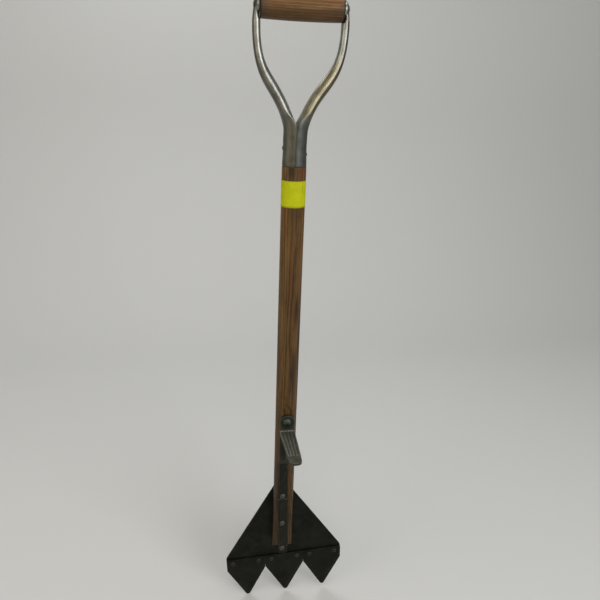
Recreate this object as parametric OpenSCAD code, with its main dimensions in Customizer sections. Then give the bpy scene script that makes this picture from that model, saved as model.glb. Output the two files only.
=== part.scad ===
// Hay knife: three cutting points on a riveted blade, an ash shaft, a cast foot
// step and a steel D handle with a turned wooden grip.
// Heights are measured up from the centre point. The front of the tool, where
// the step is, faces -Y. The row's origin lies on the shaft's centre line,
// halfway along its bare length.

/* [Blade] */
// Distance from one cutting point to the next
section_pitch = 76.2; // [60:0.1:90]
// Gap between neighbouring cutting sections
section_gap = 0.4; // [0.2:0.1:1]
// Height of a section from its point to its heel
section_h = 95; // [92:1:96]
// Height of the notches between the points
notch_h = 65.5; // [50:0.5:68]
// Width of the blunt end of each point
point_w = 6.5; // [4:0.5:20]
// Corner radius of the blunt end
point_r = 1.5; // [0.5:0.1:2.5]
// Thickness of a section
section_t = 2.8; // [2:0.1:4]
// Width of the ground bevel along a cutting edge
bevel_w = 9; // [4:0.5:14]
// Thickness left at the cutting edge
edge_t = 0.5; // [0.3:0.1:1]
// Thickness of the blade plate
plate_t = 3.2; // [2:0.1:5]
// Height of the plate's lower edge, behind the sections
plate_low_h = 70; // [69:0.5:74]
// Height of the plate's outer shoulders
shoulder_h = 97; // [93:0.5:115]
// Angle of the plate's upper edges from its centre line
upper_edge_angle = 31.6; // [28:0.1:36]
// Corner radius of the plate's shoulders
shoulder_r = 13; // [4:0.5:18]
// Corner radius of the plate's top, behind the shaft
apex_r = 8; // [3:0.5:12]
// Angle by which the blade is riveted on askew
blade_skew = 3.4; // [0:0.1:5]
// Sideways shift of the blade from the shaft's centre line
blade_shift = 5.6; // [0:0.1:8]

/* [Rivets] */
// Height of the rivets that hold the sections
section_rivet_h = 85; // [78:0.5:86]
// Distance between the two rivets of a section
section_rivet_gap = 50.8; // [40:0.1:56]
// Diameter of the section rivets
section_rivet_d = 5; // [4:0.1:6]
// Head diameter of the section rivets
section_rivet_head_d = 9.5; // [8:0.1:12]
// Diameter of the rivets through strap, wood and plate
shaft_rivet_d = 6.4; // [5:0.1:8]
// Head diameter of the rivets through strap, wood and plate
shaft_rivet_head_d = 11; // [10:0.1:13]
// Height of the upper rivet through the shaft
upper_rivet_h = 256.5; // [235:0.5:265]
// Height of the lower rivet through the shaft
lower_rivet_h = 190; // [170:1:200]
// Distance from the wood's lower end down to the rivet in the strap's foot
foot_rivet_drop = 22; // [22:0.5:25]
// Sideways place of the upper rivet on the strap
upper_rivet_x = -1.7; // [-2.5:0.1:2.5]
// Sideways place of the lower rivet on the strap
lower_rivet_x = -2.5; // [-2.5:0.1:2.5]
// Sideways place of the foot rivet on the strap
foot_rivet_x = -1.2; // [-2:0.1:2]
// Clearance between a rivet or bolt and its hole
rivet_fit = 0.05; // [0.02:0.01:0.1]

/* [Shaft] */
// Diameter of the ash shaft
shaft_d = 36.8; // [34:0.1:40]
// Distance from the sections' heels up to the wood's lower end
wood_end_gap = 36; // [33:1:41]
// Thickness of the wood at its lower end, between strap and plate
wood_end_t = 16; // [12:0.5:20]
// Distance of the front flat from the shaft's centre line
front_flat = 15.4; // [14:0.1:16]
// Distance of the back flat from the shaft's centre line
back_flat = 13.9; // [12:0.1:15]
// Radius of the run-out at the top of each flat
runout_r = 60; // [30:5:90]

/* [Strap] */
// Thickness of the iron strap down the shaft's front
strap_t = 3.2; // [2.5:0.1:4]
// Width of the strap at its top
strap_top_w = 16; // [14:0.5:20]
// Width of the strap at its foot
strap_foot_w = 17.2; // [15:0.1:20]
// Sideways shift of the strap's foot from the shaft's centre line
strap_shift = 3.8; // [-3:0.1:4]
// Angle by which the strap leans away from the shaft's centre line
strap_lean = 2; // [0:0.1:2.5]
// Gap between the strap's top and the foot step
strap_gap = 1; // [0.5:0.5:4]
// Height over which the strap steps back to the plate
joggle_drop = 12; // [10:0.5:13]
// Gap between the sections' heels and the strap's lower end
strap_foot_gap = 1.5; // [0.5:0.5:3]
// Radius of the strap's bends
strap_bend_r = 5; // [2:0.5:6]

/* [Foot step] */
// Height of the tread's top
tread_h = 403.5; // [390:0.5:440]
// Reach of the tread in front of the shaft's flat
tread_reach = 95; // [70:1:110]
// Width of the tread where it leaves the plate
tread_root_w = 26.5; // [25:0.5:32]
// Width of the tread near its nose
tread_nose_w = 20; // [16:0.5:25]
// Angle by which the tread stands askew on its plate
tread_turn = 2.2; // [0:0.1:4]
// Thickness of the tread
tread_t = 5.5; // [4:0.5:8]
// Corner radius of the tread's nose
nose_r = 8; // [3:0.5:10]
// Number of raised ribs on the tread
rib_count = 5; // [3:1:6]
// Height of the ribs above the tread
rib_rise = 1.4; // [0.8:0.1:2]
// Width of a rib at its base
rib_w = 3; // [2:0.1:3.4]
// Length of the smooth pad between the ribs and the nose
nose_pad = 20; // [14:1:30]
// Width of the step's upright plate, rounded over the bolt
lug_w = 25.4; // [22:0.1:28]
// Thickness of the upright plate
lug_t = 6; // [5:0.5:8]
// Height of the bolt above the tread
bolt_rise = 18.2; // [17:0.1:24]
// Length of the upright plate below the tread
leg_drop = 67.5; // [50:0.5:72]
// Thickness of the web under the tread
web_t = 6; // [4:0.5:8]
// Reach of the web under the tread
web_reach = 48; // [25:1:60]

/* [Step bolt] */
// Diameter of the bolt
bolt_d = 9.5; // [8:0.1:11]
// Diameter of the bolt's domed head
bolt_head_d = 15; // [13:0.1:18]
// Height of the bolt's domed head
bolt_head_t = 4; // [3:0.1:5]
// Outer diameter of the washer at the back
washer_d = 21; // [18:0.5:22]
// Thickness of the washer
washer_t = 2; // [1.5:0.1:3]
// Width of the nut across its flats
nut_w = 16; // [14:0.5:17]
// Thickness of the nut
nut_t = 8; // [6:0.5:9]
// Length of bolt beyond the nut
bolt_end = 3; // [1:0.5:5]
// Clearance between the bolt and the washer's hole
washer_fit = 0.4; // [0.2:0.1:0.8]

/* [D handle] */
// Height of the socket's lower rim
socket_h = 854; // [820:1:900]
// Height of the crotch above the rim
crotch_rise = 61; // [56:1:70]
// Radius of the socket at its rim
rim_r = 18.3; // [17.8:0.1:19]
// Radius of the socket at its waist
waist_r = 17.5; // [17:0.1:18]
// Thickness of the socket's wall
socket_wall = 1.8; // [1.4:0.1:2.2]
// Clearance between the wood and the socket's wall
socket_fit = 0.1; // [0.05:0.05:0.2]
// Length of the shaft's end inside the socket
tenon_len = 44; // [36:1:46]
// Width of the seam down the socket's front
seam_w = 0.6; // [0.4:0.1:1.4]
// Sideways place of the seam
seam_shift = -1.6; // [-3:0.1:3]
// Height of the grip's centre line above the rim
grip_rise = 212; // [200:1:240]
// Inside width of the D at the grip
d_inside = 118; // [100:1:130]
// Sideways offset of the D from the shaft's centre line
d_offset = 3.5; // [-5:0.5:5]
// Sideways place of the crotch
crotch_shift = 0.8; // [-2:0.1:2]
// Thickness of an arm at the crotch, in the plane of the D
arm_root_t = 20; // [18.5:0.1:21]
// Thickness of an arm below the grip, in the plane of the D
arm_top_t = 11.5; // [9:0.1:13]
// Depth of an arm below the grip, front to back
arm_top_depth = 15.5; // [13:0.5:18]
// How far an arm below the grip stands inside the eye's inner face
arm_recess = 3; // [0:0.1:3.5]
// Gap between the grip's ends and the ledge that an arm forms under them
ledge_gap = 1.4; // [1:0.1:3]
// Height over which an arm changes from half round to oval above the crotch
arm_blend = 28; // [10:1:40]
// Lean of an arm's inner edge at the crotch
inner_lean = 20; // [16:0.5:24]
// Lean of an arm's outer edge at the crotch
outer_lean = 15; // [10:0.5:20]
// Length over which an arm's inner edge keeps its lean
inner_pull = 84; // [70:1:95]
// Length over which an arm's outer edge keeps its lean
outer_pull = 56; // [45:1:70]
// Length over which an arm's inner edge comes upright
inner_upright = 72; // [60:1:85]
// Length over which an arm's outer edge comes upright
outer_upright = 85; // [65:1:90]
// Diameter of the eye at an arm's top
eye_d = 22; // [21:0.5:30]
// Thickness of the eye at its rod hole
eye_t = 6.8; // [6.5:0.1:9]
// Height of the dome on the eye's outer face
eye_dome = 5; // [2:0.1:5.5]

/* [Grip] */
// Diameter of the wooden grip at its middle
grip_d = 36.5; // [30:0.1:38]
// Diameter of the grip at its ends
grip_end_d = 34.4; // [29:0.1:37]
// Clearance between an end of the grip and the eye
grip_end_gap = 1.6; // [0.5:0.1:3]
// Corner radius of the grip's ends
grip_corner_r = 2; // [1:0.5:6]
// Diameter of the steel rod through the grip
rod_d = 8; // [6:0.1:8.5]
// Running clearance between rod and grip
rod_fit = 0.1; // [0.05:0.01:0.1]
// Diameter of the rod's riveted heads
rod_head_d = 9.6; // [9:0.1:13]
// Height of the rod's riveted heads
rod_head_t = 0.7; // [0.5:0.1:3]

/* [Socket pins] */
// Diameter of the pins that hold the shaft in the socket
pin_d = 4.4; // [3:0.1:5]
// Diameter of the pins' heads
pin_head_d = 7.4; // [6:0.1:9]
// Height of the pins' heads
pin_head_t = 1.8; // [1:0.1:2.5]
// Depth that a pin reaches into the socket and the wood
pin_len = 15; // [10:0.5:16]
// Height of the left pin above the rim
left_pin_rise = 26; // [14:0.5:30]
// Height of the right pin above the rim
right_pin_rise = 17.5; // [10:0.5:30]

/* [Tape band] */
// Distance from the socket's rim down to the band
band_drop = 19.7; // [5:0.1:120]
// Width of the paper band round the shaft
band_w = 40.2; // [20:0.1:50]
// Thickness of the band
band_t = 0.4; // [0.2:0.1:0.6]
// Gap between the band and the wood
band_fit = 0.1; // [0.05:0.05:0.3]

/* [Hidden] */
$fn = 64;
cut = 1;                    // how far a cutter runs past a face
arc_steps = 6;              // straight steps in a rounded corner of an outline
head_share = 0.22;          // height of a rivet's head as a share of its diameter

// Depths, front to back
shaft_r = shaft_d / 2;
plate_front = back_flat;
plate_back = plate_front + plate_t;
section_front = plate_front - section_t;
lug_front = -front_flat - lug_t;
nose_front = -front_flat - tread_reach;
wood_end_front = plate_front - wood_end_t;

// Heights
skew_h = 120;
wood_end_h = section_h + wood_end_gap;
strap_foot_h = section_h + strap_foot_gap;
bolt_h = tread_h + bolt_rise;
lug_top_h = bolt_h + lug_w / 2;
leg_low_h = tread_h - leg_drop;
taper_h = leg_low_h;        // below the step the front tapers towards the lower end
taper_slope = (front_flat + wood_end_front) / (taper_h - wood_end_h);
strap_top_h = leg_low_h - strap_gap;
joggle_h = wood_end_h - joggle_drop;
foot_rivet_h = wood_end_h - foot_rivet_drop;
half_span = 1.5 * section_pitch - section_gap / 2;
apex_h = shoulder_h + half_span / tan(upper_edge_angle);
shaft_top_h = socket_h + tenon_len;
grip_h = socket_h + grip_rise;
band_h = socket_h - band_drop - band_w;
crotch_h = socket_h + crotch_rise;
origin_h = (lug_top_h + socket_h) / 2;

// D handle
tenon_r = waist_r - socket_wall - socket_fit;
cavity_r = tenon_r + socket_fit;
grip_len = d_inside - 2 * grip_end_gap;
joint_h = crotch_h - 22;    // below this the two arms are one round socket
root_r = waist_r + 0.25;    // radius over both arms where they become the socket
arm_top_h = grip_h - grip_d / 2 - 2.75;
arm_lap = 0.3;              // how far an arm reaches past the crotch's middle
arm_rings = 24;
arm_sides = 24;

// Bolt and nut
washer_seat = sqrt(pow(shaft_r, 2) - pow(washer_d / 2 + cut, 2));
bolt_tip = washer_seat + washer_t + nut_t + bolt_end;

// Places the whole tool so that its origin is at the row's origin
module stand() {
    translate([0, 0, -origin_h]) children();
}

// Turns and shifts what is riveted to the blade
module on_blade() {
    translate([blade_shift, 0, skew_h]) rotate([0, -blade_skew, 0])
        translate([0, 0, -skew_h]) children();
}

// Gives an outline drawn in the X-Z plane a depth from y0 to y1
module slab(y0, y1) {
    translate([0, y1, 0]) rotate([90, 0, 0]) linear_extrude(y1 - y0) children();
}

// Gives an outline drawn in the Y-Z plane a width of w, centred on X = 0
module across(w) {
    translate([-w / 2, 0, 0]) rotate([90, 0, 90]) linear_extrude(w) children();
}

// A round bar along Y, from y0 at the front to y1 at the back
module bar_y(d, y0, y1) {
    translate([0, y1, 0]) rotate([90, 0, 0]) cylinder(d = d, h = y1 - y0);
}

// A round bar along X, from x0 to x1
module bar_x(d, x0, x1) {
    translate([x0, 0, 0]) rotate([0, 90, 0]) cylinder(d = d, h = x1 - x0);
}

// A low dome on the plane Z = 0
module dome(d, h) {
    ball_r = (pow(d / 2, 2) + h * h) / (2 * h);
    intersection() {
        translate([0, 0, h - ball_r]) sphere(r = ball_r);
        cylinder(d = d, h = h);
    }
}

// A rivet along Y with a domed head at each end, rooted in its shank
module rivet(d, head_d, y0, y1) {
    head_t = head_d * head_share;
    bar_y(d, y0 - head_t / 3, y1 + head_t / 3);
    translate([0, y0, 0]) rotate([90, 0, 0]) dome(head_d, head_t);
    translate([0, y1, 0]) rotate([-90, 0, 0]) dome(head_d, head_t);
}

// Points of one rounded corner between the corners before and after it
function corner(before, at, after) =
    let (
        p = [at[0], at[1]],
        u = [before[0], before[1]] - p,
        v = [after[0], after[1]] - p,
        u1 = u / norm(u),
        v1 = v / norm(v),
        half = acos(u1 * v1) / 2,
        center = p + (u1 + v1) / norm(u1 + v1) * at[2] / sin(half),
        from = p + u1 * at[2] / tan(half) - center,
        turn = (u1[0] * v1[1] - u1[1] * v1[0] > 0 ? -1 : 1) * (180 - 2 * half),
        start = atan2(from[1], from[0])
    )
    at[2] == 0 ? [p]
    : [
        for (i = [0:arc_steps])
            let (a = start + turn * i / arc_steps)
            center + at[2] * [cos(a), sin(a)],
    ];

// Outline whose corners are given as [x, y, radius]
function rounded(corners) =
    let (n = len(corners))
    [for (i = [0:n - 1]) each corner(corners[(i + n - 1) % n], corners[i], corners[(i + 1) % n])];

// Point and weight on a cubic curve
function bezier(p, t) =
    pow(1 - t, 3) * p[0] + 3 * pow(1 - t, 2) * t * p[1] + 3 * (1 - t) * t * t * p[2] + pow(t, 3) * p[3];

// Depth of the wood's front at a height
function wood_front(h) = h > taper_h ? -front_flat : -front_flat + (taper_h - h) * taper_slope;

// Shaft

// Side view of the waste in front of the shaft's flat and taper
module front_waste() {
    out = -shaft_r - cut;
    low = wood_end_h - cut;
    depth = shaft_r - front_flat;
    polygon([
        [out, low], [wood_front(low), low], [-front_flat, taper_h],
        [-front_flat, lug_top_h], for (a = [0:3:runout_sweep(depth)])
            [-front_flat - runout_r * (1 - cos(a)), lug_top_h + runout_r * sin(a)],
        [out, lug_top_h + runout_r * sin(runout_sweep(depth)) + cut],
    ]);
}

// Side view of the waste behind the shaft's flat
module back_waste() {
    out = shaft_r + cut;
    top = apex_h + cut;
    depth = shaft_r - back_flat;
    polygon([
        [out, wood_end_h - cut], [back_flat, wood_end_h - cut], [back_flat, top],
        for (a = [0:3:runout_sweep(depth)])
            [back_flat + runout_r * (1 - cos(a)), top + runout_r * sin(a)],
        [out, top + runout_r * sin(runout_sweep(depth)) + cut],
    ]);
}

// Angle of a run-out arc that climbs out of a flat of this depth
function runout_sweep(depth) = acos(1 - depth / runout_r) + 3;

module shaft() {
    color("#6b3a26") stand() difference() {
        union() {
            translate([0, 0, wood_end_h]) cylinder(d = shaft_d, h = socket_h - wood_end_h);
            translate([0, 0, socket_h - cut]) cylinder(r = tenon_r, h = tenon_len + cut - 3);
            translate([0, 0, shaft_top_h - 3]) cylinder(r1 = tenon_r, r2 = tenon_r - 3, h = 3);
        }
        across(shaft_d + 2 * cut) front_waste();
        across(shaft_d + 2 * cut) back_waste();
        shaft_rivet_places()
            bar_y(shaft_rivet_d + 2 * rivet_fit, -shaft_r - cut, shaft_r + cut);
        translate([0, 0, bolt_h]) {
            bar_y(bolt_d + 2 * rivet_fit, -shaft_r - cut, shaft_r + cut);
            bar_y(washer_d + 1, washer_seat, shaft_r + cut);
        }
        pin_holes();
    }
}

// Blade

// Front outline of the plate, about its own centre line
module plate_outline() {
    polygon(rounded([
        [-half_span, plate_low_h, 0], [half_span, plate_low_h, 0],
        [half_span, shoulder_h, shoulder_r], [0, apex_h, apex_r],
        [-half_span, shoulder_h, shoulder_r],
    ]));
}

module blade_plate() {
    color("#24221f") stand() difference() {
        on_blade() difference() {
            slab(plate_front, plate_back) plate_outline();
            for (i = [-1:1]) section_rivet_places(i)
                bar_y(section_rivet_d + 2 * rivet_fit, section_front, plate_back + cut);
        }
        shaft_rivet_places()
            bar_y(shaft_rivet_d + 2 * rivet_fit, plate_front - cut, plate_back + cut);
        foot_rivet_place()
            bar_y(shaft_rivet_d + 2 * rivet_fit, plate_front - cut, plate_back + cut);
    }
}

// Ground bevel on one cutting edge of a section
module bevel_waste() {
    half_w = (section_pitch - section_gap) / 2;
    edge_lean = atan((half_w - point_w / 2) / notch_h);
    grind = atan((section_t - edge_t) / bevel_w);
    reach = notch_h + 3 * bevel_w;
    translate([half_w, plate_front - edge_t, notch_h]) rotate([0, edge_lean, 0]) rotate([0, 0, grind])
        translate([-reach / 2, -reach, -reach]) cube([reach, reach, 2 * reach]);
}

// One cutting section; i is -1 at the left, 0 in the middle and 1 at the right
module section(i) {
    half_w = (section_pitch - section_gap) / 2;
    on_blade() difference() {
        translate([i * section_pitch, 0, 0]) difference() {
            slab(section_front, plate_front) polygon(rounded([
                [-half_w, section_h, 1], [-half_w, notch_h, 1], [-point_w / 2, 0, point_r],
                [point_w / 2, 0, point_r], [half_w, notch_h, 1], [half_w, section_h, 1],
            ]));
            bevel_waste();
            mirror([1, 0, 0]) bevel_waste();
        }
        section_rivet_places(i)
            bar_y(section_rivet_d + 2 * rivet_fit, section_front - cut, plate_front + cut);
    }
}

module left_section() {
    color("#2b2b2a") stand() section(-1);
}

module center_section() {
    color("#2b2b2a") stand() section(0);
}

module right_section() {
    color("#2b2b2a") stand() section(1);
}

// The two rivets of a section, in the blade's own place
module section_rivet_places(i) {
    for (side = [-1, 1])
        translate([i * section_pitch + side * section_rivet_gap / 2, 0, section_rivet_h]) children();
}

module section_rivets(i) {
    on_blade() section_rivet_places(i)
        rivet(section_rivet_d, section_rivet_head_d, section_front, plate_back);
}

module left_section_rivets() {
    color("#4a4742") stand() section_rivets(-1);
}

module center_section_rivets() {
    color("#4a4742") stand() section_rivets(0);
}

module right_section_rivets() {
    color("#4a4742") stand() section_rivets(1);
}

// Strap

// Side view of the strap: down the taper, then stepped back to the plate
module strap_profile() {
    top = wood_front(strap_top_h);
    end = wood_front(wood_end_h);
    drop = strap_t * 0.45;
    polygon(rounded([
        [top, strap_top_h, 0], [end, wood_end_h, 1],
        [plate_front, joggle_h, strap_bend_r + strap_t], [plate_front, strap_foot_h, 0],
        [plate_front - strap_t, strap_foot_h, 1], [plate_front - strap_t, joggle_h - drop, strap_bend_r],
        [end - strap_t, wood_end_h - drop, strap_bend_r + strap_t], [top - strap_t, strap_top_h, 1],
    ]));
}

// Front view of the strap, upright and about its own centre line
module strap_outline() {
    top = strap_top_w / 2;
    foot = strap_foot_w / 2;
    polygon(rounded([
        [-foot, strap_foot_h, 4], [foot, strap_foot_h, 4], [top, taper_h + 10, 0], [-top, taper_h + 10, 0],
    ]));
}

// Sideways place of the strap's centre line at a height
function strap_x(h) = strap_shift - (h - foot_rivet_h) * tan(strap_lean);

// Depth of a rivet's seat on the tapered part of the strap
function strap_seat(h) = wood_front(h - shaft_rivet_head_d / 2) - strap_t;

// Heights and sideways places of the two rivets through strap, wood and plate
function shaft_rivet_list() = [
    [upper_rivet_h, strap_x(upper_rivet_h) + upper_rivet_x],
    [lower_rivet_h, strap_x(lower_rivet_h) + lower_rivet_x],
];

module front_strap() {
    color("#3a3933") stand() difference() {
        intersection() {
            across(4 * strap_foot_w) strap_profile();
            slab(-shaft_r - cut, plate_back)
                translate([strap_shift, foot_rivet_h]) rotate(strap_lean) translate([0, -foot_rivet_h])
                    strap_outline();
        }
        shaft_rivet_places() bar_y(shaft_rivet_d + 2 * rivet_fit, -shaft_r - cut, plate_front);
        for (p = shaft_rivet_list()) translate([p[1], 0, p[0]])
            bar_y(shaft_rivet_head_d + 0.6, -shaft_r - cut, strap_seat(p[0]));
        foot_rivet_place() bar_y(shaft_rivet_d + 2 * rivet_fit, -cut, plate_front + cut);
    }
}

module shaft_rivet_places() {
    for (p = shaft_rivet_list()) translate([p[1], 0, p[0]]) children();
}

module foot_rivet_place() {
    translate([strap_x(foot_rivet_h) + foot_rivet_x, 0, foot_rivet_h]) children();
}

module shaft_rivets() {
    color("#55524b") stand() for (p = shaft_rivet_list()) translate([p[1], 0, p[0]])
        rivet(shaft_rivet_d, shaft_rivet_head_d, strap_seat(p[0]), plate_back);
}

module strap_foot_rivet() {
    color("#55524b") stand() foot_rivet_place()
        rivet(shaft_rivet_d, shaft_rivet_head_d, plate_front - strap_t, plate_back);
}

// Foot step

// Front view of the upright plate, round over the bolt and square at its lower end
module lug_outline() {
    half_w = lug_w / 2;
    translate([0, bolt_h]) circle(r = half_w);
    polygon(rounded([
        [-half_w, leg_low_h, 3], [half_w, leg_low_h, 3], [half_w, bolt_h, 0], [-half_w, bolt_h, 0],
    ]));
}

// Turns what stands out from the upright plate a little askew
module askew() {
    translate([0, lug_front, 0]) rotate([0, 0, tread_turn]) translate([0, -lug_front, 0]) children();
}

// Top view of the tread, narrower towards its nose
module tread_outline() {
    root = tread_root_w / 2;
    nose = tread_nose_w / 2;
    inside = lug_front + lug_t / 2;
    polygon(rounded([
        [-root, lug_front, 0], [-nose, nose_front, nose_r], [nose, nose_front, nose_r],
        [root, lug_front, 0], [root - 1, inside, 0], [1 - root, inside, 0],
    ]));
}

// Side view of the web under the tread, with a hollow curve to its front edge
module web_profile() {
    low = leg_low_h + 8;
    high = tread_h - tread_t;
    front = lug_front - web_reach;
    polygon([
        [lug_front + cut, high + cut], [front, high + cut],
        for (s = [0:0.1:1]) [front + web_reach * s * s, high - (high - low) * (2 * s - s * s) * s],
        [lug_front + cut, low],
    ]);
}

// One rib along the tread, with sloping sides and a sloping end
module rib() {
    length = tread_reach - lug_t - nose_pad;
    top_w = rib_w * 0.45;
    translate([0, lug_front + cut, tread_h - tread_t / 2]) rotate([90, 0, 0]) linear_extrude(length + cut)
        polygon([
            [-rib_w / 2, 0], [rib_w / 2, 0], [rib_w / 2, tread_t / 2], [top_w / 2, tread_t / 2 + rib_rise],
            [-top_w / 2, tread_t / 2 + rib_rise], [-rib_w / 2, tread_t / 2],
        ]);
}

// The ribs fan in with the tread's sides
module ribs() {
    length = tread_reach - lug_t;
    pitch = (tread_root_w - rib_w) / (rib_count - 1);
    narrowing = (tread_root_w - tread_nose_w) / tread_root_w;
    for (i = [0:rib_count - 1]) {
        x = (i - (rib_count - 1) / 2) * pitch;
        translate([x, lug_front, 0]) rotate([0, 0, -atan(x * narrowing / length)])
            translate([0, -lug_front, 0]) rib();
    }
}

module foot_step() {
    color("#5c5f52") stand() difference() {
        union() {
            slab(lug_front, -front_flat) lug_outline();
            askew() {
                translate([0, 0, tread_h - tread_t]) linear_extrude(tread_t) tread_outline();
                across(web_t) web_profile();
                ribs();
            }
            fillet_under_lug();
        }
        translate([0, 0, bolt_h]) bar_y(bolt_d + 2 * rivet_fit, lug_front - cut, cut - front_flat);
    }
}

// Hollow fillet between the upright plate and the tread's top
module fillet_under_lug() {
    r = 3;
    difference() {
        translate([-lug_w / 2, lug_front - r, tread_h - cut]) cube([lug_w, r + cut, r + cut]);
        translate([0, lug_front - r, tread_h + r]) bar_x(2 * r, -lug_w, lug_w);
        translate([-lug_w, lug_front - r - cut, tread_h + r]) cube([2 * lug_w, r + cut, r]);
    }
}

module step_bolt() {
    color("#4b4d45") stand() translate([0, 0, bolt_h]) {
        bar_y(bolt_d, lug_front - bolt_head_t / 3, bolt_tip - 1);
        translate([0, bolt_tip - 1, 0]) rotate([-90, 0, 0]) cylinder(d1 = bolt_d, d2 = bolt_d - 2, h = 1);
        translate([0, lug_front, 0]) rotate([90, 0, 0]) dome(bolt_head_d, bolt_head_t);
    }
}

module step_washer() {
    color("#4b4943") stand() translate([0, 0, bolt_h]) difference() {
        bar_y(washer_d, washer_seat, washer_seat + washer_t);
        bar_y(bolt_d + 2 * washer_fit, washer_seat - cut, washer_seat + washer_t + cut);
    }
}

module step_nut() {
    nut_corner = nut_w / cos(30);
    color("#4b4943") stand() translate([0, washer_seat + washer_t, bolt_h]) rotate([-90, 0, 0]) difference() {
        intersection() {
            cylinder(d = nut_corner, h = nut_t, $fn = 6);
            cylinder(d1 = nut_corner, d2 = nut_corner + 4 * nut_t, h = nut_t, $fn = 64);
            cylinder(d1 = nut_w + 2 * nut_t, d2 = nut_w, h = nut_t, $fn = 64);
        }
        translate([0, 0, -cut]) cylinder(d = bolt_d + 2 * rivet_fit, h = nut_t + 2 * cut);
    }
}

// D handle

// Control points of one edge of an arm: side is -1 at the left and 1 at the right,
// root_x and top_x are its distances from the D's middle at the crotch and below the grip
function arm_edge(side, root_x, top_x, lean, pull, upright) =
    let (
        root = [side * root_x + crotch_shift, crotch_h],
        top = [side * top_x + d_offset, arm_top_h]
    )
    [root, root + pull * [side * sin(lean), cos(lean)], top - [0, upright], top];

// How much of a section is a half round with a flat inner face: all of it in the
// socket, none above the crotch, where an arm becomes an oval bar
function half_round(h) =
    let (s = max(0, min(1, (h - crotch_h) / arm_blend)))
    1 - s * s * (3 - 2 * s);

// Section between the socket and the crotch at share s of the way up
function root_section(side, s) =
    let (
        rise = crotch_h - joint_h,
        growth = arm_root_t - root_r,
        slope = tan(outer_lean) * rise,
        r = root_r + (3 * growth - slope) * s * s + (slope - 2 * growth) * s * s * s,
        h = joint_h + rise * s,
        shift = crotch_shift * s
    )
    [[shift - side * arm_lap, h], [shift + side * r, h], root_r, half_round(h)];

// Section where the arm draws back from the grip and flattens into its eye: below
// the grip's centre line by drop, with its outer face beyond the eye by proud
function eye_section(side, drop, inside, proud, half_depth) =
    let (h = grip_h - drop, face = d_inside / 2)
    [
        [side * (face - inside) + d_offset, h],
        [side * (face + eye_t + proud) + d_offset, h],
        half_depth, 0,
    ];

// Sections of an arm from the socket to the eye: inner edge, outer edge, half
// depth front to back, and share of half round
function arm_sections(side) =
    let (
        inner = arm_edge(side, -arm_lap, d_inside / 2 - arm_recess, inner_lean, inner_pull, inner_upright),
        outer = arm_edge(side, arm_root_t, d_inside / 2 - arm_recess + arm_top_t, outer_lean, outer_pull,
            outer_upright),
        bare = arm_top_t - arm_recess - eye_t,
        ledge = grip_end_d / 2 + ledge_gap
    )
    [
        for (s = [0:0.25:0.75]) root_section(side, s),
        for (i = [0:arm_rings])
            let (t = pow(i / arm_rings, 1.4), at = bezier(inner, t))
            [at, bezier(outer, t), (arm_top_depth + (2 * root_r - arm_top_depth) * pow(1 - t, 1.6)) / 2,
                half_round(at[1])],
        eye_section(side, ledge, arm_recess, bare, arm_top_depth / 2),
        eye_section(side, ledge - 1.4, arm_recess / 3, bare * 0.9, arm_top_depth / 2),
        eye_section(side, ledge - 3.1, 0, bare * 0.8, arm_top_depth / 2),
        eye_section(side, eye_d * 0.33, 0, bare * 0.3, eye_d * 0.37),
        eye_section(side, eye_d * 0.08, 0, -eye_t * 0.08, eye_d * 0.32),
    ];

// Points of one section
function section_points(part) = [
    for (k = [0:arm_sides - 1])
        let (
            a = 360 * k / arm_sides,
            oval = (1 + cos(a)) / 2,
            flat = max(0, cos(a)),
            at = part[0] + (part[1] - part[0]) * (flat * part[3] + oval * (1 - part[3]))
        )
        [at[0], part[2] * sin(a), at[1]],
];

module arm(side) {
    sections = arm_sections(side);
    n = len(sections);
    points = [for (j = [0:n - 1]) each section_points(sections[j])];
    turn = side > 0 ? 0 : 1;
    walls = [
        for (j = [0:n - 2]) for (k = [0:arm_sides - 1])
            let (
                a = j * arm_sides + (k + turn) % arm_sides,
                b = j * arm_sides + (k + 1 - turn) % arm_sides
            )
            each [[a, a + arm_sides, b], [b, a + arm_sides, b + arm_sides]],
    ];
    low = [for (k = [0:arm_sides - 1]) side > 0 ? k : arm_sides - 1 - k];
    high = [for (k = [arm_sides - 1:-1:0]) (n - 1) * arm_sides + low[k]];
    polyhedron(points = points, faces = concat(walls, [low, high]), convexity = 6);
}

// Eye with a flat inner face and a domed outer one, round the rod's hole
module eye(side) {
    translate([d_offset, 0, grip_h]) mirror([side < 0 ? 1 : 0, 0, 0]) translate([d_inside / 2, 0, 0]) {
        bar_x(eye_d, 0, eye_t - eye_dome);
        translate([eye_t - eye_dome, 0, 0]) rotate([0, 90, 0]) dome(eye_d, eye_dome);
    }
}

// Revolved wall of the socket, waisted above its rim
module socket_body() {
    top = joint_h - socket_h;
    translate([0, 0, socket_h]) rotate_extrude() polygon([
        [0, 0], [rim_r - 0.5, 0], [rim_r, 0.6], [rim_r - 0.1, 6], [waist_r + 0.25, 14], [waist_r, 24],
        [waist_r, top + 3], [0, top + 3],
    ]);
}

// The seam down the front where the socket's wall was closed
module seam() {
    depth = rim_r - cavity_r + cut;
    translate([seam_shift - seam_w / 2, -rim_r - cut, socket_h - cut])
        cube([seam_w, depth + cut, crotch_rise - 4 + cut]);
}

module d_yoke() {
    color("#8d8b84") stand() difference() {
        union() {
            socket_body();
            for (side = [-1, 1]) {
                arm(side);
                eye(side);
            }
        }
        translate([0, 0, socket_h - cut]) cylinder(r = cavity_r, h = tenon_len + 1 + cut);
        seam();
        translate([0, 0, grip_h]) bar_x(rod_d + 2 * rivet_fit, -d_inside, d_inside);
        pin_holes();
        pin_places() translate([0, 0, pin_seat()]) cylinder(d = pin_head_d + 0.4, h = 2 * pin_head_t);
    }
}

// Grip and rod

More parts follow.
